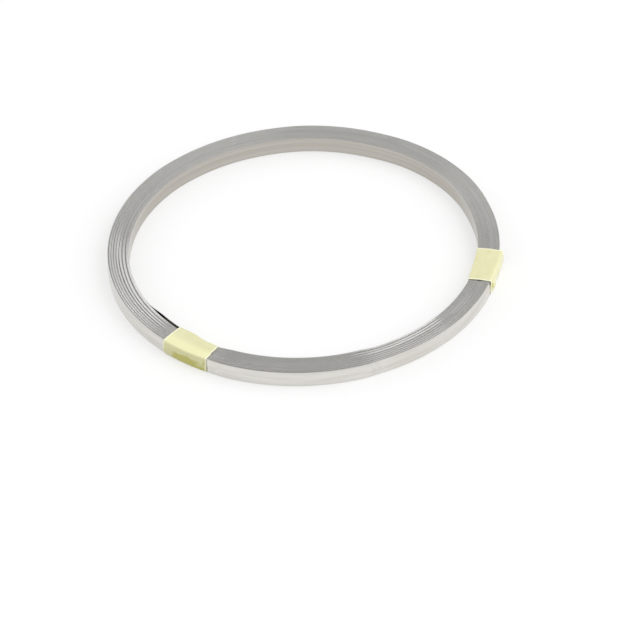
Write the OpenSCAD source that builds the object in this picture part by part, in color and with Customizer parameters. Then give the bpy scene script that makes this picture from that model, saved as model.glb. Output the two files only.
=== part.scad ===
// Coil of flat nichrome resistance ribbon: one long strip wound turn on turn, lying on
// its edge, and held by two short wraps of yellow tape.
// Units are millimetres. The coil's axis is Z, and it lies on the plane z = 0.

/* [Ribbon] */
// Width of the ribbon, which is the height of the coil
ribbon_w = 6; // [4:0.5:12]
// Thickness of the ribbon
ribbon_t = 0.2; // [0.15:0.01:0.3]
// Air left between one turn and the next
turn_gap = 0.01; // [0:0.01:0.05]

/* [Coil] */
// Diameter of the open bore
bore_d = 127.2; // [90:0.2:180]
// Number of turns
turns = 38; // [20:1:60]
// How far the highest turn stands above the lowest
edge_wander = 0.24; // [0:0.02:0.5]

/* [Tape] */
// Width of the tape
tape_w = 18; // [12:1:25]
// Thickness of the tape
tape_t = 0.13; // [0.08:0.01:0.15]
// Direction of the tape on the left, from +X towards +Y
tape_left_angle = 232; // [200:1:260]
// Direction of the tape on the right
tape_right_angle = 347; // [300:1:350]
// Share of the ribbon's width by which the tape's end laps over its start
lap_share = 0.5; // [0.3:0.05:0.6]
// Number of teeth that the dispenser's blade leaves across the tape's end
teeth = 9; // [6:1:14]
// Depth of those teeth
tooth_depth = 0.7; // [0.4:0.1:1]

/* [Hidden] */
$fn = 180;

turn_pitch = ribbon_t + turn_gap;
bore_r = bore_d / 2;
coil_r = bore_r + turns * turn_pitch;

// The lowest turn stands on the tape, and the tape stands on the floor.
coil_z0 = tape_t;
coil_z1 = coil_z0 + edge_wander + ribbon_w;

// Places of the tape's start and end on the bore's wall
tape_end_z = coil_z0 + 1;
tape_start_z = tape_end_z + lap_share * ribbon_w;

// Heights of the turns wander by two waves out of step with the turns. The innermost
// turns lie level, so that the bore has one plain wall.
wave_a = 97;
wave_b = 41;
level_turns = 3;
function lift_wave(i) =
    edge_wander * (0.5 + 0.3 * sin(wave_a * i) + 0.2 * sin(wave_b * i));
function turn_lift(i) = lift_wave(max(i, level_turns - 1));
function turn_r(i) = bore_r + i * turn_pitch;

// One end of the coil's section: each turn is a step as wide as the pitch.
function end_steps(z) = [
    for (i = [0 : turns - 1])
        for (side = [0, 1])
            [turn_r(i + side), z + turn_lift(i)]
];
function reversed(list) = [for (i = [len(list) - 1 : -1 : 0]) list[i]];

module nichrome() color([0.72, 0.71, 0.69]) children();
module yellow_tape() color([0.92, 0.90, 0.62]) children();

// The wound strip, as one turned body whose turns show on both ends
module ribbon_coil() {
    nichrome()
        rotate_extrude()
            polygon(concat(end_steps(coil_z0), reversed(end_steps(coil_z0 + ribbon_w))));
}

// Straight-sided block across the tape's width, from the axis out to a flat outer side
module across_tape(width, outer_x)
    translate([0, -width / 2, -1])
        cube([outer_x, width, coil_z1 + 2]);

// Outside of a tape: once round the coil's section, with a lap over its own start on the
// bore's wall. The upper layer climbs over that start on a slope.
module tape_outside() {
    lap_slope = 3 * tape_t;
    layer_r = bore_r - tape_t;
    reach_r = coil_r + tape_w;
    rotate_extrude()
        polygon([
            [reach_r, coil_z0 - tape_t],
            [reach_r, coil_z1 + tape_t],
            [layer_r, coil_z1 + tape_t],
            [layer_r, tape_start_z + lap_slope],
            [layer_r - tape_t, tape_start_z],
            [layer_r - tape_t, tape_end_z],
            [layer_r, tape_end_z],
            [layer_r, coil_z0 - tape_t]
        ]);
}

// Space inside a tape: curved where the tape sticks to the bore's wall, and flat on the
// outer side, where the strip is pulled straight and meets the coil along one line
module tape_inside() {
    reach_r = coil_r + tape_w;
    intersection() {
        rotate_extrude()
            translate([bore_r, coil_z0])
                square([reach_r - bore_r, coil_z1 - coil_z0]);
        across_tape(2 * tape_w, coil_r);
    }
}

// Notches of the serrated end, cut through the upper layer alone
module tooth_notches() {
    tooth_w = tape_w / teeth;
    layer_r = bore_r - tape_t;
    intersection() {
        rotate_extrude()
            translate([layer_r - 3 * tape_t, 0])
                square([3 * tape_t, coil_z1]);
        for (k = [0 : teeth - 1])
            translate([0, (k - (teeth - 1) / 2) * tooth_w, tape_end_z])
                rotate([90, 0, 90])
                    linear_extrude(bore_r)
                        polygon([
                            [-tooth_w / 2, -tooth_depth],
                            [tooth_w / 2, -tooth_depth],
                            [tooth_w / 2, 0],
                            [0, tooth_depth],
                            [-tooth_w / 2, 0]
                        ]);
    }
}

// A wrap of tape on the +X side of the coil
module tape_wrap() {
    yellow_tape()
        difference() {
            intersection() {
                tape_outside();
                across_tape(tape_w, coil_r + tape_t);
            }
            tape_inside();
            tooth_notches();
        }
}

module tape_left() rotate(tape_left_angle) tape_wrap();
module tape_right() rotate(tape_right_angle) tape_wrap();

ribbon_coil();
tape_left();
tape_right();
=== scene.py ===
"""Studio scene for a coil of nichrome ribbon that two wraps of tape hold closed.

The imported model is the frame. The ribbon is wound here as one long strip, turn on turn,
and the tapes are thin strips folded round the coil, each with a lap and a serrated end.
Lengths are in metres and angles in radians, unless a name says otherwise.
"""

from __future__ import annotations

import logging
import math
from dataclasses import dataclass
from enum import Enum
from typing import Any, Callable, Mapping, Sequence

import bmesh
import bpy
from mathutils import Matrix, Vector

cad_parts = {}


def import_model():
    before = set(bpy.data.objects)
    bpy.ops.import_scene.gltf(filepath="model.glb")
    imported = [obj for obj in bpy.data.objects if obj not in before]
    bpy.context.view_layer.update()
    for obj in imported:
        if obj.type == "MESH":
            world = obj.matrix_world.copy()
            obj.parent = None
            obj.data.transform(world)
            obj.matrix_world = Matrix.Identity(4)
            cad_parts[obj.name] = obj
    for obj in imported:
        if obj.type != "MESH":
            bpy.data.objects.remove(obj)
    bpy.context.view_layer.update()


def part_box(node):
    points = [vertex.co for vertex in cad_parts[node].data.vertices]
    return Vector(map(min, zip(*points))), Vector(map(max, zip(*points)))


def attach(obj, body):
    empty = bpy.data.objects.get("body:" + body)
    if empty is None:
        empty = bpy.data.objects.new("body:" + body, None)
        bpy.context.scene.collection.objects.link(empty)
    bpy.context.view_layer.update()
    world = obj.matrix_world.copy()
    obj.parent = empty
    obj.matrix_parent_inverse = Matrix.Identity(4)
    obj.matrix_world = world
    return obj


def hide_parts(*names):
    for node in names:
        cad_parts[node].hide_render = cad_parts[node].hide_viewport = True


LOG = logging.getLogger("ribbon_coil")
MM = 0.001
Point2 = tuple[float, float]
Colour = tuple[float, float, float]


def clamp(value: float, low: float = 0.0, high: float = 1.0) -> float:
    """Keeps a number between two limits."""
    return min(max(value, low), high)


def ease(share: float) -> float:
    """Turns a share from 0 to 1 into one that starts and ends gently."""
    return share**2 * (3 - 2 * share)


# ---------------------------------------------------------------------------
# Node trees
# ---------------------------------------------------------------------------


class Wire:
    """A node's output, on which arithmetic adds Math nodes to the same tree."""

    def __init__(self, bench: NodeBench, socket: bpy.types.NodeSocket | None) -> None:
        """Keeps the bench that adds nodes, and the output, which an end node lacks."""
        self.bench = bench
        self.socket = socket

    def math(self, operation: str, *values: Wire | float) -> Wire:
        """Adds one Math node.

        Args:
            operation: The node's operation.
            values: Its inputs in order.

        Returns:
            The node's output.
        """
        inputs = dict(enumerate(values))
        return self.bench.add("ShaderNodeMath", {"operation": operation}, inputs)

    def __add__(self, other: Wire | float) -> Wire:
        """Sum."""
        return self.math("ADD", self, other)

    def __radd__(self, other: float) -> Wire:
        """Sum with a number on the left."""
        return self.math("ADD", other, self)

    def __sub__(self, other: Wire | float) -> Wire:
        """Difference."""
        return self.math("SUBTRACT", self, other)

    def __rsub__(self, other: float) -> Wire:
        """Difference with a number on the left."""
        return self.math("SUBTRACT", other, self)

    def __mul__(self, other: Wire | float) -> Wire:
        """Product."""
        return self.math("MULTIPLY", self, other)

    def __rmul__(self, other: float) -> Wire:
        """Product with a number on the left."""
        return self.math("MULTIPLY", other, self)

    def __truediv__(self, other: Wire | float) -> Wire:
        """Quotient."""
        return self.math("DIVIDE", self, other)

    def __rtruediv__(self, other: float) -> Wire:
        """Quotient with a number on the left."""
        return self.math("DIVIDE", other, self)

    def cos(self) -> Wire:
        """Cosine."""
        return self.math("COSINE", self)

    def sin(self) -> Wire:
        """Sine."""
        return self.math("SINE", self)

    def step(self, low: float, high: float) -> Wire:
        """Rises smoothly from 0 at low to 1 at high, and falls where low is the higher.

        Args:
            low: The number that gives 0.
            high: The number that gives 1.

        Returns:
            The share, from 0 to 1.
        """
        settings = {"interpolation_type": "SMOOTHSTEP"}
        inputs = {"Value": self, "From Min": low, "From Max": high}
        return self.bench.add("ShaderNodeMapRange", settings, inputs)


class NodeBench:
    """Adds nodes to one tree, whether of a material, a world or geometry."""

    def __init__(self, tree: bpy.types.NodeTree) -> None:
        """Empties the tree and keeps it."""
        tree.nodes.clear()
        self.tree = tree

    def add(
        self,
        kind: str,
        settings: Mapping[str, Any] | None = None,
        inputs: Mapping[int | str, Any] | None = None,
        output: int | str = 0,
    ) -> Wire:
        """Adds a node.

        Args:
            kind: The node's type.
            settings: Its properties, set before its inputs.
            inputs: Values or wires, by socket name or place.
            output: The output that the returned wire stands for.

        Returns:
            The wanted output of the new node.
        """
        node = self.tree.nodes.new(kind)
        for name, value in (settings or {}).items():
            setattr(node, name, value)
        for key, value in (inputs or {}).items():
            if isinstance(value, Wire):
                self.tree.links.new(value.socket, node.inputs[key])
            else:
                node.inputs[key].default_value = value
        return Wire(self, node.outputs[output] if node.outputs else None)

    def vector(self, x: Wire | float, y: Wire | float, z: Wire | float = 0.0) -> Wire:
        """Combines three values into a vector."""
        return self.add("ShaderNodeCombineXYZ", inputs={"X": x, "Y": y, "Z": z})

    def part(self, vector: Wire, axis: str) -> Wire:
        """One of a vector's three numbers."""
        return self.add("ShaderNodeSeparateXYZ", inputs={"Vector": vector}, output=axis)

    def noise(self, vector: Wire, detail: float = 2.0, scale: float = 1.0) -> Wire:
        """Noise from 0 to 1 over a vector."""
        inputs = {"Vector": vector, "Scale": scale, "Detail": detail}
        return self.add("ShaderNodeTexNoise", inputs=inputs, output="Fac")

    def attribute(self, name: str) -> Wire:
        """A number stored on the mesh of the piece."""
        return self.add("ShaderNodeAttribute", {"attribute_name": name}, output="Fac")

    def mix(self, factor: Wire, low: Wire | Colour, high: Wire | Colour) -> Wire:
        """Mixes two colours.

        Args:
            factor: Share of the second colour.
            low: The first colour, as a wire or a plain colour.
            high: The second colour, as either.

        Returns:
            The mixed colour.
        """
        settings = {"data_type": "RGBA", "blend_type": "MIX"}
        ends = [end if isinstance(end, Wire) else (*end, 1.0) for end in (low, high)]
        return self.add("ShaderNodeMix", settings, {0: factor, 6: ends[0], 7: ends[1]}, output=2)


# ---------------------------------------------------------------------------
# Stretches of the ring
# ---------------------------------------------------------------------------


@dataclass(frozen=True)
class Stretch:
    """A stretch of the ring, which fades out on both sides.

    azimuth is its middle and half_width its reach, in degrees. core is the share of that
    reach where it is whole.
    """

    azimuth: float
    half_width: float
    amount: float = 1.0
    core: float = 0.35

    def at(self, angle: Wire) -> Wire:
        """Finds the stretch's amount at a place.

        Args:
            angle: Azimuth of the place.

        Returns:
            The amount, which is 0 outside the stretch.
        """
        turned = (angle - math.radians(self.azimuth)).cos()
        reach = math.radians(self.half_width)
        return turned.step(math.cos(reach), math.cos(self.core * reach)) * self.amount


def total(stretches: Sequence[Stretch], angle: Wire) -> Wire:
    """Adds up the amounts of some stretches.

    Args:
        stretches: The stretches.
        angle: Azimuth in radians.

    Returns:
        The sum, which is 0 where there is no stretch.
    """
    level: Wire | float = 0.0
    for stretch in stretches:
        level = stretch.at(angle) + level
    return level


# ---------------------------------------------------------------------------
# Finishes
# ---------------------------------------------------------------------------


def from_display(red: float, green: float, blue: float) -> Colour:
    """Turns a colour as a screen shows it into linear light.

    Args:
        red: Level of red, from 0 to 255.
        green: Level of green.
        blue: Level of blue.

    Returns:
        The three levels of light, from 0 to 1.
    """

    def linear(level: float) -> float:
        """One channel."""
        level /= 255.0
        return level / 12.92 if level <= 0.04045 else ((level + 0.055) / 1.055) ** 2.4

    return linear(red), linear(green), linear(blue)


def make_material(
    name: str, surface: Callable[[NodeBench], Mapping[str, Any]]
) -> bpy.types.Material:
    """Makes a material with one shader.

    Args:
        name: Name of the material.
        surface: Adds the nodes that the shader needs, and returns the shader's inputs.

    Returns:
        The material.
    """
    made = bpy.data.materials.new(name)
    made.use_nodes = True
    bench = NodeBench(made.node_tree)
    shader = bench.add("ShaderNodeBsdfPrincipled", inputs=surface(bench))
    bench.add("ShaderNodeOutputMaterial", inputs={"Surface": shader})
    return made


@dataclass(frozen=True)
class Grain:
    """A noise that is drawn out along the ribbon.

    along and aside are how fast it changes along the ribbon and at right angles to that, for
    each metre, and layer sets it apart from the other grains.
    """

    along: float
    aside: float
    layer: float = 0.0
    detail: float = 1.0

    def over(self, along: Wire, aside: Wire) -> Wire:
        """Finds the noise at a place on the ribbon.

        Args:
            along: Place along the ribbon.
            aside: Place at right angles to that.

        Returns:
            The noise, from 0 to 1.
        """
        bench = along.bench
        place = bench.vector(along * self.along, aside * self.aside, self.layer)
        return bench.noise(place, self.detail)


@dataclass(frozen=True)
class RibbonFinish:
    """Cold-rolled nichrome: bright faces with rolling lines, and satin slit edges.

    A range is where a noise leads from one colour to the other, and the unevenness of a finish
    is how much its roughness varies. The glints are stretches of the ring where the edges have
    more bright specks: painted glints, with some worn specks among them.
    """

    face: Colour = from_display(223, 221, 216)
    face_dull: Colour = from_display(214, 211, 205)
    # The bore's wall is a painted reflection: a darker, warmer grey with brighter streaks that stand
    # for the darker things it mirrors.
    bore_painted_reflection: Colour = from_display(184, 179, 171)
    bore_painted_reflection_bright: Colour = from_display(194, 190, 183)
    edge: Colour = from_display(202, 201, 198)
    edge_dull: Colour = from_display(185, 184, 181)
    # Painted highlight on raised edges, corner facets and glint specks, with edges worn bright.
    edge_worn_and_highlight: Colour = from_display(251, 250, 248)
    # Painted shade on edges that lie low between raised turns.
    edge_painted_shade: Colour = from_display(142, 141, 138)
    face_roughness: float = 0.20
    edge_roughness: float = 0.38
    corner_roughness: float = 0.32
    line_unevenness: float = 0.10
    cloud_unevenness: float = 0.06
    burr_unevenness: float = 0.10
    lines: Grain = Grain(1 / (30.0 * MM), 1 / (0.12 * MM), detail=3.0)
    clouds: Grain = Grain(30.0, 450.0, layer=4.0, detail=2.0)
    burrs: Grain = Grain(1 / (1.2 * MM), 5000.0, layer=9.0, detail=2.0)
    turns: Grain = Grain(14.0, 2600.0, layer=2.0)
    reflection_streaks: Grain = Grain(9.0, 900.0, layer=7.0)
    specks: Grain = Grain(420.0, 2400.0, layer=5.0)
    cloud_range: Point2 = (0.35, 0.70)
    reflection_streak_range: Point2 = (0.35, 0.65)
    turn_range: Point2 = (0.38, 0.62)
    speck_range: Point2 = (0.60, 0.72)
    turn_share: float = 0.75
    corner_wear_and_highlight: float = 0.35
    burr_relief: float = 0.8
    bump_strength: float = 0.5
    bump_depth: float = 0.004 * MM
    bore_depth: float = 1.0 * MM
    # Stretches of painted glints on the slit edges, with some worn specks.
    glints: tuple[Stretch, ...] = (
        Stretch(120, 30, 0.35, 0.5),
        Stretch(164, 24, 0.42, 0.6),
        Stretch(250, 16, 0.40, 0.6),
    )

    def material(self) -> bpy.types.Material:
        """Builds the finish, which reads the attributes that the winding stores."""
        return make_material("nichrome_ribbon", self._surface)

    def _surface(self, bench: NodeBench) -> dict[str, Any]:
        """Adds the nodes of the whole ribbon.

        Args:
            bench: Bench of the material.

        Returns:
            The shader's inputs.
        """
        along, across, depth = self._marks(bench, "along", "across", "depth")
        slit, corner = self._marks(bench, "slit", "corner")
        place = bench.add("ShaderNodeTexCoord", output="Object")
        north = bench.part(place, "Y")
        angle = north.math("ARCTAN2", north, bench.part(place, "X"))
        lines = self.lines.over(along, across)
        clouds = self.clouds.over(along, across)
        burrs = self.burrs.over(along, depth)

        face_colour = self._face_colour(bench, clouds)
        edge_colour = self._edge_colour(bench, angle, burrs)
        face_rough = self.face_roughness + self.line_unevenness * (lines - 0.5)
        face_rough = face_rough + self.cloud_unevenness * (clouds - 0.5)
        edge_rough = self.edge_roughness + self.burr_unevenness * (burrs - 0.5)
        edge_rough = edge_rough + (self.corner_roughness - edge_rough) * corner
        bump = {
            "Strength": self.bump_strength,
            "Distance": self.bump_depth,
            "Height": lines * (1.0 - slit) + burrs * slit * self.burr_relief,
        }
        return {
            "Base Color": bench.mix(slit, face_colour, edge_colour),
            "Metallic": 1.0,
            "Roughness": face_rough + (edge_rough - face_rough) * slit,
            "Normal": bench.add("ShaderNodeBump", inputs=bump),
        }

    @staticmethod
    def _marks(bench: NodeBench, *names: str) -> list[Wire]:
        """The numbers that the winding stored under some names."""
        return [bench.attribute(name) for name in names]

    def _face_colour(self, bench: NodeBench, clouds: Wire) -> Wire:
        """Adds the colour of the flat faces.

        Args:
            bench: Bench of the material.
            clouds: Noise of the faint clouds.

        Returns:
            The colour, which on the bore's wall is a painted reflection: a darker, warmer grey with
            brighter streaks.
        """
        along, across, depth = self._marks(bench, "along", "across", "depth")
        face = bench.mix(clouds.step(*self.cloud_range), self.face, self.face_dull)
        # Painted reflection on the bore's wall: darker grey with brighter streaks.
        reflection_streaks = self.reflection_streaks.over(along, across).step(*self.reflection_streak_range)
        bore = bench.mix(reflection_streaks, self.bore_painted_reflection, self.bore_painted_reflection_bright)
        in_bore = depth.step(self.bore_depth, 0.5 * self.bore_depth)
        return bench.mix(in_bore, face, bore)

    def _edge_colour(self, bench: NodeBench, angle: Wire, burrs: Wire) -> Wire:
        """Adds the colour of the slit edges.

        Args:
            bench: Bench of the material.
            angle: Azimuth of the point.
            burrs: Noise of the burrs.

        Returns:
            The colour, which is lighter where an edge is raised, worn bright and with a painted
            highlight, and darker where it lies low, as painted shade.
        """
        along, depth = self._marks(bench, "along", "depth")
        corner, proud, sunk = self._marks(bench, "corner", "proud", "sunk")
        turns = self.turn_share * self.turns.over(along, depth) + (1.0 - self.turn_share) * burrs
        colour = bench.mix(turns.step(*self.turn_range), self.edge_dull, self.edge)
        specks = self.specks.over(along, depth).step(*self.speck_range)
        # Painted glints in some stretches, with some worn specks.
        colour = bench.mix(specks * total(self.glints, angle), colour, self.edge_worn_and_highlight)
        # Raised turns and corner facets: edges worn bright, with painted highlight.
        wear_and_highlight = proud.math("MAXIMUM", proud, self.corner_wear_and_highlight * corner)
        colour = bench.mix(wear_and_highlight, colour, self.edge_worn_and_highlight)
        # Low-lying edges: painted shade.
        return bench.mix(sunk, colour, self.edge_painted_shade)


@dataclass(frozen=True)
class TapeFinish:
    """Thin yellow paper tape: matt, faintly mottled, with painted highlights along its cut edges and
    on its outer side.

    tint is how much of the glue's colour shows wherever there is glue, and soak how much more
    shows where it has soaked in, which patchiness makes uneven. That darker yellow is partly glue
    seen through the tape and partly painted shade, low on the outer wall and in creases.
    """

    body: Colour = from_display(225, 223, 177)
    shade: Colour = from_display(221, 218, 169)
    # Painted highlight where light falls on the tape's outer top and outer wall.
    painted_highlight: Colour = from_display(237, 235, 184)
    # Painted highlight along the cut edges.
    rim: Colour = from_display(254, 254, 222)
    glued: Colour = from_display(222, 211, 98)
    # Glue seen through the tape, partly painted shade low on the outer wall and in creases.
    under: Colour = from_display(194, 188, 78)
    roughness: float = 0.55
    unevenness: float = 0.12
    gloss: float = 0.4
    film: float = 1.0
    film_roughness: float = 0.3
    mottle_density: float = 260.0
    fibre: float = 0.7 * MM
    patch: float = 4.0 * MM
    mottle_range: Point2 = (0.3, 0.7)
    tint_range: Point2 = (0.0, 0.1)
    soak_range: Point2 = (0.25, 0.85)
    tint: float = 0.16
    soak: float = 0.72
    patchiness: float = 1.2
    bump_strength: float = 0.35
    bump_depth: float = 0.02 * MM
    fibre_share: float = 0.6

    def material(self) -> bpy.types.Material:
        """Builds the finish, which reads Object coordinates and the strip's attributes."""
        return make_material("yellow_tape", self._surface)

    def _surface(self, bench: NodeBench) -> dict[str, Any]:
        """Adds the nodes of the tape.

        Args:
            bench: Bench of the material.

        Returns:
            The shader's inputs.
        """
        place = bench.add("ShaderNodeTexCoord", output="Object")
        mottle = bench.noise(place, detail=3.0, scale=self.mottle_density)
        fibres = bench.noise(place, detail=2.0, scale=1 / self.fibre)
        patches = bench.noise(place, detail=1.0, scale=1 / self.patch)
        body = bench.mix(mottle.step(*self.mottle_range), self.shade, self.body)
        # Painted highlight towards the outer side of the top and on the outer wall.
        colour = bench.mix(bench.attribute("painted_highlight"), body, self.painted_highlight)
        # Glue seen through the tape, partly painted shade low on the outer wall and in creases.
        under = bench.attribute("under")
        soaked = (under + self.patchiness * (patches - 0.5)).step(*self.soak_range)
        glue_and_shade = self.tint * under.step(*self.tint_range) + self.soak * soaked
        colour = bench.mix(glue_and_shade, colour, self.under)
        colour = bench.mix(bench.attribute("glued"), colour, self.glued)
        # Painted highlight along the cut edges.
        colour = bench.mix(bench.attribute("rim"), colour, self.rim)
        bump = {
            "Strength": self.bump_strength,
            "Distance": self.bump_depth,
            "Height": self.fibre_share * fibres + (1.0 - self.fibre_share) * mottle,
        }
        return {
            "Base Color": colour,
            "Roughness": self.roughness + self.unevenness * (mottle - 0.5),
            "Normal": bench.add("ShaderNodeBump", inputs=bump),
            "Specular IOR Level": self.gloss,
            "Coat Weight": self.film,
            "Coat Roughness": self.film_roughness,
        }


# ---------------------------------------------------------------------------
# The ribbon
# ---------------------------------------------------------------------------


class WindingSense(Enum):
    """Which way the ribbon runs from its inner end, seen from above."""

    CLOCKWISE = -1.0
    ANTICLOCKWISE = 1.0


@dataclass(frozen=True)
class LooseSpan:
    """A stretch of the coil where some turns have slid up past their neighbours.

    band is the part of the build that is loose, from 0 at the bore to 1 at the outside,
    and show is how clearly its ridges stand out in the painted highlight and painted shade of their
    edges.
    """

    where: Stretch
    lift: float
    show: float
    band: Point2


@dataclass(frozen=True)
class Swell:
    """A stretch of the coil where the innermost turn moves in and the outermost moves out."""

    where: Stretch
    inward: float
    outward: float


@dataclass
class RibbonCoil:
    """The wound ribbon, from its inner end under one tape to its outer end under the other.

    Where turns have slid up, they stand in ridges. ridge is how far one lies from the next,
    ridge_crowding how much closer they get towards the outside, and ridge_drift how many
    ridges they wander by, which changes through the build and round the ring. inner_flush
    and outer_flush are the shares of the build where the innermost and the outermost turns
    come up to the ridges, and band_fade is how far a loose span fades beyond its band.
    spring_hold is the share of spring_angle over which the inner end stays sprung.
    edge_range and corner_range tell the slit edges and their corners by how level they lie.
    """

    bore_radius: float
    outer_radius: float
    floor_gap: float
    ribbon_width: float
    inner_end: float
    outer_end: float
    tape_half_angle: float
    ribbon_thickness: float = 0.185 * MM
    edge_break: float = 0.012 * MM
    whole_turns: int = 37
    steps_per_turn: int = 216
    sense: WindingSense = WindingSense.CLOCKWISE
    ridge: float = 1.35 * MM
    ridge_crowding: float = 0.027 / MM**2
    ridge_range: Point2 = (1.0, 0.2)
    ridge_drift: float = 0.6
    drift_depth: float = 5.4 * MM
    drift_round: float = 0.7
    level_lift: float = 0.03 * MM
    inner_flush: Point2 = (0.09, 0.05)
    outer_flush: Point2 = (0.95, 0.98)
    band_fade: float = 0.1
    spring_gap: float = 0.95 * MM
    spring_angle: float = math.radians(25)
    spring_hold: float = 0.65
    edge_range: Point2 = (0.3, 0.6)
    corner_range: Point2 = (0.95, 0.8)
    sharp_from: float = math.radians(30)
    spans: tuple[LooseSpan, ...] = (
        LooseSpan(Stretch(198, 28), 0.26 * MM, 1.0, (-0.05, 0.45)),
        LooseSpan(Stretch(165, 17, core=0.5), 0.03 * MM, 0.18, (-0.05, 1.1)),
        LooseSpan(Stretch(197, 34), 0.14 * MM, 0.65, (0.45, 1.1)),
        LooseSpan(Stretch(300, 18, core=0.7), 0.14 * MM, 0.6, (-0.05, 0.35)),
        LooseSpan(Stretch(308, 10, core=0.7), 0.12 * MM, 0.4, (-0.05, 0.45)),
        LooseSpan(Stretch(302, 16, core=0.7), 0.06 * MM, 0.40, (0.35, 1.1)),
        LooseSpan(Stretch(326, 7), 0.04 * MM, 0.25, (0.35, 0.55)),
    )
    swells: tuple[Swell, ...] = (
        Swell(Stretch(266, 27, core=0.75), 0.60 * MM, 0.38 * MM),
        Swell(Stretch(41, 26, core=0.0), -0.55 * MM, 0.55 * MM),
        Swell(Stretch(113, 26, core=0.0), 0.30 * MM, -0.30 * MM),
    )

    @property
    def sweep(self) -> float:
        """Whole angle that the ribbon runs through."""
        part = (self.outer_end - self.inner_end) * self.sense.value
        return math.tau * self.whole_turns + part % math.tau

    @property
    def pitch(self) -> float:
        """How far each turn moves the ribbon outwards."""
        build = self.outer_radius - self.bore_radius - self.ribbon_thickness
        return build / (self.sweep / math.tau)

    def build(self, material: bpy.types.Material) -> bpy.types.Object:
        """Winds the ribbon and bakes it to a plain mesh.

        Args:
            material: Finish of the whole ribbon.

        Returns:
            The finished piece.
        """
        values = {
            "Bore Radius": self.bore_radius,
            "Pitch": self.pitch,
            "Sweep": self.sweep,
            "Start": self.inner_end,
            "Sense": self.sense.value,
            "Ribbon Width": self.ribbon_width,
            "Ribbon Thickness": self.ribbon_thickness,
            "Edge Break": self.edge_break,
            "Spring Gap": self.spring_gap,
            "Floor Gap": self.floor_gap,
            "Steps": round(self.steps_per_turn * self.sweep / math.tau),
            "Finish": material,
        }
        coil = grow("nichrome_ribbon", self._tree, values)
        coil.data.shade_smooth()
        coil.data.set_sharp_from_angle(angle=self.sharp_from)
        return coil

    def _tree(self, bench: NodeBench, given: Mapping[str, Wire]) -> Wire:
        """Adds the winding's nodes.

        Args:
            bench: Bench of the new tree.
            given: The tree's inputs.

        Returns:
            The geometry.
        """
        line = bench.add("GeometryNodeCurvePrimitiveLine", inputs={"End": (1.0, 0.0, 0.0)})
        fine = bench.add(
            "GeometryNodeResampleCurve", {"mode": "COUNT"}, {"Curve": line, "Count": given["Steps"]}
        )
        share = bench.add("GeometryNodeSplineParameter", output="Factor")
        run = share * given["Sweep"]
        angle = given["Start"] + given["Sense"] * run
        depth = given["Pitch"] * run / math.tau
        sprung = run.step(self.spring_angle, self.spring_hold * self.spring_angle)
        spring = given["Spring Gap"] * sprung
        radius = given["Bore Radius"] + given["Ribbon Thickness"] * 0.5 + depth - spring
        share_out = depth / (self.outer_radius - self.bore_radius)
        for swell in self.swells:
            moved = swell.outward * share_out - swell.inward * (1.0 - share_out)
            radius = radius + swell.where.at(angle) * moved
        lift, proud, sunk = self._lift(bench, angle, depth)
        height = given["Floor Gap"] + given["Ribbon Width"] * 0.5 + lift
        place = bench.vector(radius * angle.cos(), radius * angle.sin(), height)
        # Stored on the straight line, because the share of its length changes as it is wound
        straight = self._store(bench, fine, "along", run * radius)
        straight = self._store(bench, straight, "depth", depth)
        # proud and sunk feed the painted highlight and painted shade on the slit edges.
        straight = self._store(bench, straight, "proud", proud)
        straight = self._store(bench, straight, "sunk", sunk)
        wound = bench.add(
            "GeometryNodeSetPosition", inputs={"Geometry": straight, "Position": place}
        )
        spine = bench.add("GeometryNodeSetCurveNormal", {"mode": "Z_UP"}, {"Curve": wound})
        swept = bench.add(
            "GeometryNodeCurveToMesh",
            inputs={"Curve": spine, "Profile Curve": self._profile(bench, given), "Fill Caps": True},
        )
        level = bench.part(bench.add("GeometryNodeInputNormal"), "Z")
        level = level.math("ABSOLUTE", level)
        slit = level.step(*self.edge_range)
        corner = slit * level.step(*self.corner_range)
        marked = self._store(bench, swept, "slit", slit, domain="FACE")
        marked = self._store(bench, marked, "corner", corner, domain="FACE")
        finished = {"Geometry": marked, "Material": given["Finish"]}
        return bench.add("GeometryNodeSetMaterial", inputs=finished)

    def _profile(self, bench: NodeBench, given: Mapping[str, Wire]) -> Wire:
        """Adds the ribbon's section, which stores the height of its points.

        Args:
            bench: Bench of the tree.
            given: The tree's inputs.

        Returns:
            The section, with its corners eased.
        """
        outline = bench.add(
            "GeometryNodeCurvePrimitiveQuadrilateral",
            {"mode": "RECTANGLE"},
            {"Width": given["Ribbon Thickness"], "Height": given["Ribbon Width"]},
        )
        eased = bench.add(
            "GeometryNodeFilletCurve",
            {"mode": "POLY"},
            {"Curve": outline, "Count": 1, "Radius": given["Edge Break"]},
        )
        across = bench.part(bench.add("GeometryNodeInputPosition"), "Y")
        return self._store(bench, eased, "across", across)

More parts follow.
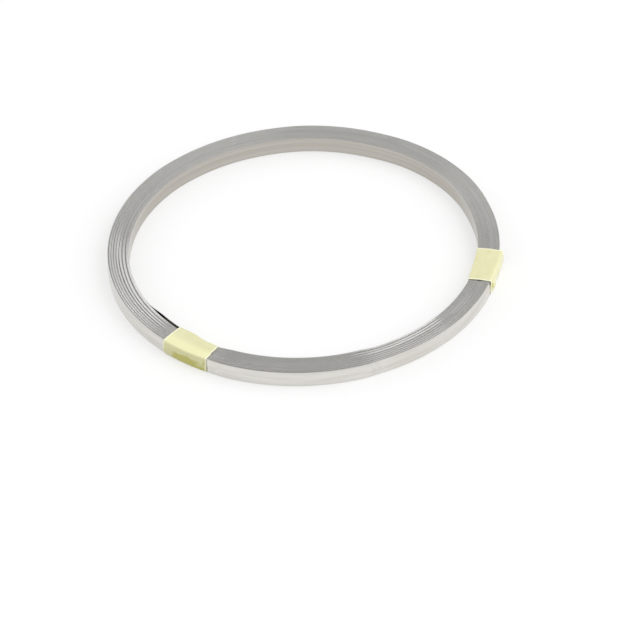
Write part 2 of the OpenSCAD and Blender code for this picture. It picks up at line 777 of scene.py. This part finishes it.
    def _lift(self, bench: NodeBench, angle: Wire, depth: Wire) -> tuple[Wire, Wire, Wire]:
        """How far each point of the ribbon has slid up, and how proud or sunk it stands.

        Args:
            bench: Bench of the tree.
            angle: Azimuth of the point, unwound.
            depth: How far out the point lies in the build.

        Returns:
            The lift, and two numbers from 0 to 1: how far the point's edge stands above its
            neighbours, and how far it lies below them, which set painted highlight and painted
            shade.
        """
        east, north = angle.cos(), angle.sin()
        share = depth / (self.outer_radius - self.bore_radius)
        around = (east * self.drift_round, north * self.drift_round)
        drift = bench.noise(bench.vector(depth / self.drift_depth, *around), 1.0)
        count = depth / self.ridge + self.ridge_crowding * depth * depth
        count = count + self.ridge_drift * (drift - 0.5)
        wave = (math.tau * count).cos().step(*self.ridge_range)
        ends = share.step(*self.outer_flush) + share.step(*self.inner_flush)
        wave = wave.math("MAXIMUM", wave, ends)
        reach: Wire | float = self.level_lift
        loose: Wire | float = 0.0
        for span in self.spans:
            start, end = span.band
            inside = span.where.at(angle) * share.step(start - self.band_fade, start)
            inside = inside * share.step(end + self.band_fade, end)
            reach = inside * span.lift + reach
            loose = inside * span.show + loose
        free_of_tape: Wire | float = 1.0
        held, let_go = math.cos(self.tape_half_angle), math.cos(2.0 * self.tape_half_angle)
        for tape in (self.inner_end, self.outer_end):
            free_of_tape = (angle - tape).cos().step(held, let_go) * free_of_tape
        reach = free_of_tape * reach
        loose = free_of_tape * loose
        return wave * reach, wave * loose, (1.0 - wave) * loose

    @staticmethod
    def _store(
        bench: NodeBench, geometry: Wire, name: str, value: Wire, domain: str = "POINT"
    ) -> Wire:
        """Stores a number on the geometry.

        Args:
            bench: Bench of the tree.
            geometry: The geometry.
            name: Name of the attribute.
            value: The number.
            domain: Part of the geometry that holds it.

        Returns:
            The geometry with the attribute.
        """
        settings = {"data_type": "FLOAT", "domain": domain}
        inputs = {"Geometry": geometry, "Name": name, "Value": value}
        return bench.add("GeometryNodeStoreNamedAttribute", settings, inputs)


def grow(
    name: str,
    plan: Callable[[NodeBench, Mapping[str, Wire]], Wire],
    values: Mapping[str, Any],
) -> bpy.types.Object:
    """Builds a Geometry Nodes tree, runs it once and keeps the plain mesh that it makes.

    Args:
        name: Name of the piece and of its tree.
        plan: Adds the nodes, and returns the finished geometry.
        values: The tree's inputs by name.

    Returns:
        The piece, with no modifier left on it.
    """
    kinds = {
        float: "NodeSocketFloat",
        int: "NodeSocketInt",
        bpy.types.Material: "NodeSocketMaterial",
    }
    tree = bpy.data.node_groups.new(name, "GeometryNodeTree")
    bench = NodeBench(tree)
    sockets = {
        key: tree.interface.new_socket(name=key, in_out="INPUT", socket_type=kinds[type(value)])
        for key, value in values.items()
    }
    tree.interface.new_socket(name="Geometry", in_out="OUTPUT", socket_type="NodeSocketGeometry")
    entry = tree.nodes.new("NodeGroupInput")
    given = {key: Wire(bench, entry.outputs[key]) for key in values}
    real = bench.add("GeometryNodeRealizeInstances", inputs={"Geometry": plan(bench, given)})
    leaving = tree.nodes.new("NodeGroupOutput")
    tree.links.new(real.socket, leaving.inputs["Geometry"])

    holder = bpy.data.objects.new(name, bpy.data.meshes.new(name))
    bpy.context.scene.collection.objects.link(holder)
    modifier = holder.modifiers.new(name, "NODES")
    modifier.node_group = tree
    for key, socket in sockets.items():
        modifier[socket.identifier] = values[key]
    depsgraph = bpy.context.evaluated_depsgraph_get()
    mesh = bpy.data.meshes.new_from_object(holder.evaluated_get(depsgraph))
    holder.modifiers.remove(modifier)
    holder.data = mesh
    mesh.name = name
    return holder


# ---------------------------------------------------------------------------
# The tapes
# ---------------------------------------------------------------------------


@dataclass(frozen=True)
class Corner:
    """A corner of the tape's path round the coil's section, as radius and height."""

    radius: float
    height: float
    bend: float = 0.0


@dataclass(frozen=True)
class Pucker:
    """A low bump in the tape.

    at is its middle in the section, as radius and height, and across its middle across the
    tape. reach and spread are its half sizes along and across, and rise is its height.
    stain_and_shade is how much of the glue gathers in it, as darker yellow that is partly
    painted shade in the crease.
    """

    at: Point2
    across: float
    reach: float
    spread: float
    rise: float
    stain_and_shade: float = 0.0

    def shape(self, here: Vector, across: float) -> float:
        """Height of the bump at a place, from 0 beside it to 1 in its middle."""
        away = math.hypot(
            (here - Vector(self.at)).length / self.reach, (across - self.across) / self.spread
        )
        return (math.cos(min(away, 1.0) * math.pi) + 1.0) / 2


@dataclass
class TapeWrap:
    """One strip of tape, folded once round the coil's section and lapped on its own start.

    tight_bend, crown_bend and lap_ramp are in thicknesses of the tape. touch is the place
    across the tape where its outer side leaves the coil and runs straight, towards the side
    that free_side gives as -1 or 1, and head and foot are the shares of the gap behind it
    that are left at the coil's top and bottom. end_step is how far the outer side steps in
    where the ribbon has ended. The glue that shows through, with painted shade that is darker
    towards the bottom, is glue_shade_level at the bottom, less glue_shade_fall at the top,
    within 0 and 1, and nowhere under glue_film on the outer wall. highlight_from is the share of
    the way out at which a painted highlight starts on the top, and splay the share by which the
    cut edges spread towards the outer side.
    """

    name: str
    node: str
    azimuth: float
    width: float
    thickness: float
    inner_radius: float
    outer_radius: float
    bottom: float
    top: float
    lap_start: float
    free_end: float
    touch: float
    free_side: float
    spring_gap: float = 0.0
    bore_straightness: float = 0.75
    head: float = 1.0
    foot: float = 1.0
    end_step: float = 0.0
    stain_and_shade: float = 1.0
    glue_shade_level: float = 3.3
    glue_shade_fall: float = 4.5
    glue_film: float = 0.1
    highlight_from: float = 0.42
    highlight_rise: float = 3.5
    highlight_wall: float = 0.50
    splay: float = 0.0
    outer_slack: float = 0.04 * MM
    crown: float = 0.15 * MM
    shoulder: float = 0.10 * MM
    wrinkle: float = 0.04 * MM
    wrinkle_length: float = 1.1 * MM
    wrinkle_waves: tuple[tuple[float, float, float], ...] = ((1.0, 0.8, 0.0), (0.6, -1.3, 1.0))
    belly: float = 0.15 * MM
    held_edge: float = 2.0 * MM
    outer_bend: float = 0.35 * MM
    tight_bend: float = 2.0
    crown_bend: float = 20.0
    lap_ramp: float = 5.0
    teeth: int = 9
    tooth_depth: float = 0.7 * MM
    tooth_rows: int = 8
    columns_per_tooth: int = 8
    row_step: float = 0.22 * MM
    rim_steps: int = 3
    sharp_from: float = math.radians(55)
    puckers: tuple[Pucker, ...] = ()

    def path_corners(self) -> list[Corner]:
        """Finds the corners of the tape's middle surface.

        Returns:
            The corners, from the tape's covered start to its free end.
        """
        half = self.thickness / 2
        first = self.inner_radius - half
        second = first - self.thickness
        outer = self.outer_radius + half + self.outer_slack
        low = self.bottom + half
        high = self.top + half
        middle = (first + outer) / 2
        tight = self.tight_bend * self.thickness
        ramp = self.lap_ramp * self.thickness
        return [
            Corner(first, self.lap_start),
            Corner(first, low, tight),
            Corner(outer, low, self.outer_bend),
            Corner(outer, high - self.shoulder, self.outer_bend),
            Corner(middle, high + self.crown, self.crown_bend * self.thickness),
            Corner(first, high, tight),
            Corner(first, self.lap_start + ramp, tight),
            Corner(second, self.lap_start, tight),
            Corner(second, self.free_end),
        ]

    def path(self) -> list[Point2]:
        """Rounds the corners and divides the path into even short steps.

        Returns:
            Points of the middle surface, as radius and height.
        """
        corners = self.path_corners()
        rounded: list[Vector] = [Vector((corners[0].radius, corners[0].height))]
        for before, here, after in zip(corners, corners[1:], corners[2:]):
            rounded += round_corner(before, here, after)
        rounded.append(Vector((corners[-1].radius, corners[-1].height)))
        return even_steps(rounded, self.row_step)

    def build(self, material: bpy.types.Material) -> bpy.types.Object:
        """Makes the strip as a closed thin mesh.

        Args:
            material: Finish of the tape.

        Returns:
            The finished piece.
        """
        path = self.path()
        columns = self.teeth * self.columns_per_tooth
        shape = bmesh.new()
        rim = shape.verts.layers.float.new("rim")
        glued = shape.verts.layers.float.new("glued")
        under = shape.verts.layers.float.new("under")
        painted_highlight = shape.verts.layers.float.new("painted_highlight")
        outer_rows: list[list[bmesh.types.BMVert]] = []
        inner_rows: list[list[bmesh.types.BMVert]] = []
        for row in range(len(path)):
            outer_rows.append([])
            inner_rows.append([])
            for column in range(columns + 1):
                across = (column / columns - 0.5) * self.width
                for rows, side in ((outer_rows, 0.5), (inner_rows, -0.5)):
                    vertex = shape.verts.new(self._point(path, row, across, side))
                    from_cut = min(column, columns - column, len(path) - 1 - row)
                    # How much of the painted highlight along the cut edges a vertex takes.
                    vertex[rim] = max(0.0, 1.0 - from_cut / self.rim_steps)
                    vertex[glued] = 1.0 if side < 0 else 0.0
                    # Glue seen through, partly painted shade.
                    vertex[under] = self._glue_and_shade(Vector(path[row]), across)
                    # Strength of the painted highlight.
                    vertex[painted_highlight] = self._painted_highlight(Vector(path[row]))
                    rows[-1].append(vertex)
        self._skin(shape, outer_rows, inner_rows)
        mesh = bpy.data.meshes.new(self.name)
        shape.to_mesh(mesh)
        shape.free()
        mesh.transform(Matrix.Rotation(self.azimuth, 4, "Z"))
        mesh.materials.append(material)
        mesh.shade_smooth()
        mesh.set_sharp_from_angle(angle=self.sharp_from)
        piece = bpy.data.objects.new(self.name, mesh)
        bpy.context.scene.collection.objects.link(piece)
        return piece

    def _point(self, path: Sequence[Point2], row: int, across: float, side: float) -> Vector:
        """Place of one vertex, before the tape is turned to its azimuth.

        Args:
            path: Points of the middle surface.
            row: Place along the path.
            across: Place across the tape's width.
            side: 0.5 for the side away from the coil, -0.5 for the sticky side.

        Returns:
            The point, with X along the tape's azimuth.
        """
        here = Vector(path[row])
        before = Vector(path[max(row - 1, 0)])
        after = Vector(path[min(row + 1, len(path) - 1)])
        run = (after - before).normalized()
        outward = Vector((run.y, -run.x))
        tail = row - (len(path) - 1 - self.tooth_rows)
        if tail > 0:
            pull = self._tooth(across) * tail / self.tooth_rows
            here = here - run * pull
        lift = sum(pucker.rise * pucker.shape(here, across) for pucker in self.puckers)
        lift += self._wrinkle(here, across)
        here = here + outward * (side * self.thickness + lift)
        here.y = max(here.y, self.bottom + (0.5 - side) * self.thickness)
        share = clamp(self._share_out(here))
        across *= 1.0 + self.splay * share
        rise = self._rise(here)
        outer_gap = self._outer_gap(across) * self._fullness(rise) + self._bulge(across, rise)
        outer_gap -= self.end_step * clamp(0.5 - across * self.free_side / MM)
        slack = outer_gap * share - self._bore_gap(across) * (1.0 - share)
        return Vector((math.sqrt(here.x**2 - across**2) + slack, across, here.y))

    def _share_out(self, here: Vector) -> float:
        """Share of the way from the bore's wall to the outer one at which a place lies."""
        return (here.x - self.inner_radius) / (self.outer_radius - self.inner_radius)

    def _rise(self, here: Vector) -> float:
        """Share of the coil's height at which a place lies."""
        return (here.y - self.bottom) / (self.top - self.bottom)

    def _below_top(self, here: Vector) -> float:
        """Rises from 0 on the coil's top to 1 a millimetre below it."""
        return clamp((self.top - here.y) / MM)

    def _glue_and_shade(self, here: Vector, across: float) -> float:
        """Finds how strongly the glue shows through on the outer side, with painted shade that is
        darker towards the bottom and in creases.

        Args:
            here: Place in the section, as radius and height.
            across: Place across the tape's width.

        Returns:
            The strength, from 0 to 1.
        """
        if here.x < self.outer_radius - self.width / 4:
            return 0.0
        low = self.stain_and_shade * clamp(self.glue_shade_level - self.glue_shade_fall * self._rise(here))
        gathered = sum(pucker.stain_and_shade * pucker.shape(here, across) for pucker in self.puckers)
        least = self.glue_film * self.stain_and_shade * self._below_top(here)
        return clamp(low + gathered, least)

    def _painted_highlight(self, here: Vector) -> float:
        """How strong the painted highlight is at a place: it grows towards the outer side of the
        top, and on the outer wall it is highlight_wall of that.
        """
        on_top = clamp((self._share_out(here) - self.highlight_from) * self.highlight_rise)
        return on_top * (1.0 - (1.0 - self.highlight_wall) * self._below_top(here))

    def _outer_gap(self, across: float) -> float:
        """Finds how far the flat outer side stands off the round coil.

        Args:
            across: Place across the tape's width.

        Returns:
            The gap, which is 0 up to the touching line.
        """
        if (across - self.touch) * self.free_side <= 0.0:
            return 0.0
        radius = self.outer_radius
        flat = (radius**2 - self.touch * across) / math.sqrt(radius**2 - self.touch**2)
        return flat - math.sqrt(radius**2 - across**2)

    def _fullness(self, rise: float) -> float:
        """Finds the share of the outer gap that is left at a height.

        Args:
            rise: Share of the coil's height.

        Returns:
            The share, from foot at the bottom through 1 in the middle to head at the top.
        """
        off_middle = clamp(2.0 * rise - 1.0, -1.0)
        end = self.head if off_middle > 0.0 else self.foot
        return 1.0 - (1.0 - end) * off_middle**2

    def _bulge(self, across: float, rise: float) -> float:
        """How far the outer side bows out, which it does not along the edge that holds."""
        free = clamp((self.width / 2 + across * self.free_side) / self.held_edge)
        return self.belly * math.sin(math.pi * clamp(rise)) * free * (2.0 - free)

    def _bore_gap(self, across: float) -> float:
        """Finds how far the inner side stands off the bore's wall.

        Args:
            across: Place across the tape's width.

        Returns:
            The gap.
        """
        radius, half = self.inner_radius, self.width / 2
        sag = math.sqrt(radius**2 - across**2) - math.sqrt(radius**2 - half**2)
        return self.bore_straightness * sag + self.spring_gap * ease(clamp(0.5 - across / half))

    def _tooth(self, across: float) -> float:
        """How far the free end is cut back at a place across the tape."""
        share = (across / self.width + 0.5) * self.teeth
        return self.tooth_depth * (1.0 - abs(2.0 * (share % 1.0) - 1.0))

    def _wrinkle(self, here: Vector, across: float) -> float:
        """Finds how far the faint slanting wrinkles stand off, which die out below.

        Args:
            here: Place in the section, as radius and height.
            across: Place across the tape's width.

        Returns:
            The height of the wrinkles.
        """
        along = (here.x - here.y) / self.wrinkle_length
        aside = across / self.wrinkle_length
        shape = 1.0
        for wide, long, phase in self.wrinkle_waves:
            shape *= math.sin(wide * aside + long * along + phase)
        return self.wrinkle * (1.0 + shape) * clamp((here.y - self.bottom) / MM)

    @staticmethod
    def _skin(
        shape: bmesh.types.BMesh,
        outer: Sequence[Sequence[bmesh.types.BMVert]],
        inner: Sequence[Sequence[bmesh.types.BMVert]],
    ) -> None:
        """Covers the two sides and the rim of the strip with faces.

        Args:
            shape: The mesh.
            outer: Vertices of the side away from the coil, by row.
            inner: Vertices of the sticky side, by row.
        """
        rows, columns = len(outer), len(outer[0])
        for r in range(rows - 1):
            for c in range(columns - 1):
                shape.faces.new((outer[r][c], outer[r][c + 1], outer[r + 1][c + 1], outer[r + 1][c]))
                shape.faces.new((inner[r][c], inner[r + 1][c], inner[r + 1][c + 1], inner[r][c + 1]))
            for c in (0, columns - 1):
                shape.faces.new((outer[r][c], outer[r + 1][c], inner[r + 1][c], inner[r][c]))
        for c in range(columns - 1):
            for r in (0, rows - 1):
                shape.faces.new((outer[r][c], outer[r][c + 1], inner[r][c + 1], inner[r][c]))
        bmesh.ops.recalc_face_normals(shape, faces=shape.faces)


def round_corner(before: Corner, here: Corner, after: Corner) -> list[Vector]:
    """Replaces a corner by an arc that touches both of its legs.

    Args:
        before: The corner before it.
        here: The corner, with its bend radius.
        after: The corner after it.

    Returns:
        Points of the arc, or the corner itself where it has no bend.
    """
    spot = Vector((here.radius, here.height))
    back = Vector((before.radius, before.height)) - spot
    ahead = Vector((after.radius, after.height)) - spot
    if here.bend <= 0.0:
        return [spot]
    turn = math.pi - back.angle(ahead)
    reach = min(here.bend * math.tan(turn / 2), back.length * 0.45, ahead.length * 0.45)
    start = spot + back.normalized() * reach
    end = spot + ahead.normalized() * reach
    pieces = max(3, math.ceil(turn / math.radians(12)))
    arc = []
    for step in range(pieces + 1):
        t = step / pieces
        arc.append(start * (1 - t) ** 2 + spot * 2 * t * (1 - t) + end * t**2)
    return arc


def even_steps(points: Sequence[Vector], step: float) -> list[Point2]:
    """Adds points on the long stretches of a line, and keeps its own points.

    Args:
        points: The line.
        step: The longest step that stays undivided.

    Returns:
        The finer line.
    """
    fine: list[Point2] = []
    for start, end in zip(points, points[1:]):
        count = max(1, math.ceil((end - start).length / step))
        fine += [tuple(start.lerp(end, i / count)) for i in range(count)]
    fine.append(tuple(points[-1]))
    return fine


# ---------------------------------------------------------------------------
# The studio
# ---------------------------------------------------------------------------


@dataclass
class Studio:
    """Pale floor, soft light and the camera.

    aside is how far the coil lies from the middle of the view.
    """

    coil_top: float
    elevation: float = math.radians(39.63)
    roll: float = math.radians(-2.39)
    distance: float = 2.250
    aside: Point2 = (-6.13 * MM, 27.07 * MM)
    lens_mm: float = 347.3
    sensor_mm: float = 36.0
    nearest: float = 0.05
    farthest: float = 50.0
    floor_size: float = 6.0
    floor_colour: Colour = (0.50, 0.50, 0.50)
    floor_glow: float = 0.47
    sky_dim: float = 0.72
    sky_bright: float = 0.88
    dim_way: tuple[float, float, float] = (-0.40, 0.75, 0.50)
    dim_range: Point2 = (0.2, 0.8)

    def build(self) -> None:
        """Makes the camera, the floor, the sky and the lamps."""
        self._camera()
        self._floor()
        self._sky()
        key = Vector((1.47, -0.37, 1.14))
        rim = Vector((-1.9, 1.0, 0.55))
        self._softbox("key_softbox", key, size=2.4, power=12.0, glare=False)
        self._softbox("sheen_softbox", 0.95 * key, size=2.28, power=8.0)
        self._softbox("rim_softbox", rim, size=1.6, power=12.0)

    def _camera(self) -> None:
        """Places the camera."""
        sin, cos = math.sin, math.cos
        back = Vector((0.0, -cos(self.elevation), sin(self.elevation)))
        level_right = Vector((1.0, 0.0, 0.0))
        level_up = Vector((0.0, sin(self.elevation), cos(self.elevation)))
        right = cos(self.roll) * level_right + sin(self.roll) * level_up
        up = cos(self.roll) * level_up - sin(self.roll) * level_right
        data = bpy.data.cameras.new("camera")
        data.lens = self.lens_mm
        data.sensor_width = self.sensor_mm
        data.clip_start = self.nearest
        data.clip_end = self.farthest
        camera = bpy.data.objects.new("camera", data)
        turned = Matrix((right, up, back)).transposed()
        place = Vector((0, 0, self.coil_top)) + self.distance * back
        place -= self.aside[0] * right + self.aside[1] * up
        camera.matrix_world = Matrix.Translation(place) @ turned.to_4x4()
        bpy.context.scene.collection.objects.link(camera)
        bpy.context.scene.camera = camera

    def _floor(self) -> None:
        """Lays the floor at the level that the coil lies on."""
        half = self.floor_size / 2
        mesh = bpy.data.meshes.new("floor")
        corners = [(-half, -half, 0), (half, -half, 0), (half, half, 0), (-half, half, 0)]
        mesh.from_pydata(corners, [], [(0, 1, 2, 3)])
        mesh.materials.append(make_material("pale_floor", self._floor_surface))
        floor = bpy.data.objects.new("floor", mesh)
        bpy.context.scene.collection.objects.link(floor)

    def _floor_surface(self, bench: NodeBench) -> dict[str, Any]:
        """Adds the nodes of the floor, which glows only where it is seen or mirrored.

        Args:
            bench: Bench of the material.

        Returns:
            The shader's inputs.
        """
        seen: Wire | float = 0.0
        for ray in ("Is Camera Ray", "Is Glossy Ray", "Is Transmission Ray"):
            seen = bench.add("ShaderNodeLightPath", output=ray) + seen
        return {
            "Base Color": (*self.floor_colour, 1.0),
            "Roughness": 0.9,
            "Specular IOR Level": 0.0,
            "Emission Color": (1.0, 1.0, 1.0, 1.0),
            "Emission Strength": self.floor_glow * seen.math("MINIMUM", seen, 1.0),
        }

    def _sky(self) -> None:
        """Fills the room with grey light that is dimmest behind the coil."""
        world = bpy.data.worlds.new("studio")
        bpy.context.scene.world = world
        world.use_nodes = True
        bench = NodeBench(world.node_tree)
        way = bench.add("ShaderNodeTexCoord", output="Generated")
        both = {0: way, 1: self.dim_way}
        turned = bench.add("ShaderNodeVectorMath", {"operation": "DOT_PRODUCT"}, both, "Value")
        dimmed = turned.step(*self.dim_range)
        level = self.sky_bright + (self.sky_dim - self.sky_bright) * dimmed
        white = {"Color": (1.0, 1.0, 1.0, 1.0), "Strength": level}
        light = bench.add("ShaderNodeBackground", inputs=white)
        bench.add("ShaderNodeOutputWorld", inputs={"Surface": light})

    def _softbox(
        self, name: str, place: Vector, size: float, power: float, glare: bool = True
    ) -> None:
        """Hangs a square softbox that faces the coil.

        Args:
            name: Name of the lamp.
            place: Its middle.
            size: Length of its side.
            power: Power in watts.
            glare: Whether shiny surfaces mirror it.
        """
        data = bpy.data.lights.new(name, "AREA")
        data.shape = "SQUARE"
        data.size = size
        data.energy = power
        lamp = bpy.data.objects.new(name, data)
        lamp.location = place
        lamp.visible_glossy = glare
        lamp.rotation_mode = "QUATERNION"
        lamp.rotation_quaternion = place.to_track_quat("Z", "Y")
        bpy.context.scene.collection.objects.link(lamp)


# ---------------------------------------------------------------------------
# Assembly
# ---------------------------------------------------------------------------


def keep(piece: bpy.types.Object, node: str) -> None:
    """Puts a finished piece in the place of its CAD node and reports it.

    Args:
        piece: The finished piece.
        node: The CAD node that it stands for.
    """
    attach(piece, "root")
    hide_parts(node)
    count = sum(len(face.vertices) - 2 for face in piece.data.polygons)
    LOG.info("%s stands for %s with %d triangles", piece.name, node, count)


def main() -> None:
    """Builds the coil, its tapes and the studio."""
    logging.basicConfig(level=logging.INFO, format="%(name)s: %(message)s")
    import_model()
    view = bpy.context.scene.view_settings
    view.view_transform = "Standard"

    coil_low, coil_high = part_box("ribbon_coil")
    Studio(coil_top=coil_high.z).build()

    tape_low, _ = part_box("tape_left")
    tape_width = 18.0 * MM
    left, right = math.radians(232), math.radians(347)
    bore_radius = 63.6 * MM
    ribbon_width = 6.0 * MM
    headroom = 0.05 * MM
    coil = RibbonCoil(
        bore_radius=bore_radius,
        outer_radius=coil_high.x,
        floor_gap=coil_low.z,
        ribbon_width=ribbon_width,
        inner_end=left,
        outer_end=right,
        tape_half_angle=math.asin(tape_width / 2 / coil_high.x),
    )
    keep(coil.build(RibbonFinish().material()), "ribbon_coil")

    tape_finish = TapeFinish().material()
    shared = {
        "width": tape_width,
        "thickness": 0.13 * MM,
        "inner_radius": bore_radius,
        "bottom": tape_low.z,
        "top": coil_low.z + ribbon_width + headroom,
        "lap_start": 4.13 * MM,
        "free_end": 1.13 * MM,
    }
    outer_wall = coil_high.x
    left_tape = TapeWrap(
        name="yellow_tape_left",
        node="tape_left",
        azimuth=left,
        outer_radius=outer_wall - 0.7 * coil.pitch,
        touch=0.5 * MM,
        free_side=-1.0,
        head=0.1,
        foot=0.1,
        spring_gap=coil.spring_gap,
        splay=0.06,
        # The last numbers of some puckers darken or lighten the tape's yellow, partly painted shade
        # in creases.
        puckers=(
            Pucker((outer_wall, 5.0 * MM), 9.0 * MM, 1.4 * MM, 1.1 * MM, 0.08 * MM),
            Pucker((outer_wall, 3.4 * MM), 7.0 * MM, 2.4 * MM, 1.0 * MM, 0.26 * MM),
            Pucker((outer_wall, 1.4 * MM), 9.2 * MM, 2.6 * MM, 1.4 * MM, 0.28 * MM, -0.4),
            Pucker((outer_wall, 4.0 * MM), 7.9 * MM, 1.9 * MM, 0.5 * MM, -0.04 * MM, 1.4),
            Pucker((outer_wall, 2.2 * MM), 5.6 * MM, 2.6 * MM, 2.6 * MM, 0.0, -0.5),
            Pucker((outer_wall, 2.4 * MM), -9.4 * MM, 6.0 * MM, 7.5 * MM, 0.0, -1.6),
            Pucker((outer_wall, 2.4 * MM), 9.4 * MM, 5.0 * MM, 4.0 * MM, 0.0, -0.9),
        ),
        **shared,
    )
    right_tape = TapeWrap(
        name="yellow_tape_right",
        node="tape_right",
        azimuth=right,
        outer_radius=outer_wall,
        touch=-3.0 * MM,
        free_side=1.0,
        end_step=coil.pitch,
        belly=0.40 * MM,
        stain_and_shade=0.0,
        highlight_from=0.85,
        highlight_wall=1.0,
        # The last number of a pucker darkens the tape's yellow, partly painted shade in a fold.
        puckers=(
            Pucker((outer_wall, 5.2 * MM), -9.0 * MM, 1.4 * MM, 1.1 * MM, 0.20 * MM),
            Pucker((outer_wall, 2.6 * MM), -6.2 * MM, 3.2 * MM, 2.8 * MM, 0.62 * MM),
            Pucker((outer_wall, 3.6 * MM), -8.2 * MM, 2.3 * MM, 1.4 * MM, 0.0, 0.85),
        ),
        **shared,
    )
    for tape in (left_tape, right_tape):
        keep(tape.build(tape_finish), tape.node)


if __name__ == "__main__":
    main()
